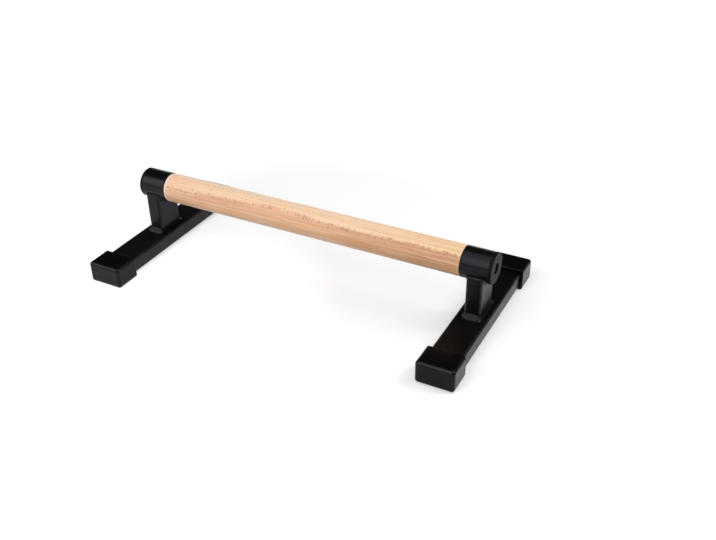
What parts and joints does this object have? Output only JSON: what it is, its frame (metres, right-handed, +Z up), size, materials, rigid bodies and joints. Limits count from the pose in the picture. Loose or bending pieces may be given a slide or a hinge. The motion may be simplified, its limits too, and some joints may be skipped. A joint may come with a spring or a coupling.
{
  "type": "parallette bar",
  "caption": "Low free-standing hand bar: a round wooden grip bolted into steel sockets on welded rectangular-tube stands with rubber foot caps.",
  "frame": {"origin": "on the floor under the middle of the bar", "axes": "+X along the bar towards the right stand, +Y towards the rear, where the locking screws are, +Z up"},
  "size_m": [0.5076, 0.26, 0.1053],
  "materials": {
    "beech_wood": "satin lacquered beech",
    "powder_coat": "black satin powder coat on steel",
    "foot_rubber": "black moulded rubber",
    "black_fastener": "black oxide steel",
    "brass_insert": "turned brass"
  },
  "bodies": {
    "root": {"wooden_bar": "beech_wood", "left_threaded_insert": "brass_insert", "left_socket_tube": "powder_coat", "left_end_plug": "powder_coat", "left_end_washer": "black_fastener", "left_end_bolt": "black_fastener", "left_locking_screw": "black_fastener", "left_upright": "powder_coat", "left_base_tube": "powder_coat", "left_rear_foot_cap": "foot_rubber", "left_front_foot_cap": "foot_rubber", "left_base_weld": "powder_coat", "left_socket_weld": "powder_coat", "right_threaded_insert": "brass_insert", "right_socket_tube": "powder_coat", "right_end_plug": "powder_coat", "right_end_washer": "black_fastener", "right_end_bolt": "black_fastener", "right_locking_screw": "black_fastener", "right_upright": "powder_coat", "right_base_tube": "powder_coat", "right_rear_foot_cap": "foot_rubber", "right_front_foot_cap": "foot_rubber", "right_base_weld": "powder_coat", "right_socket_weld": "powder_coat"}
  },
  "joints": []
}
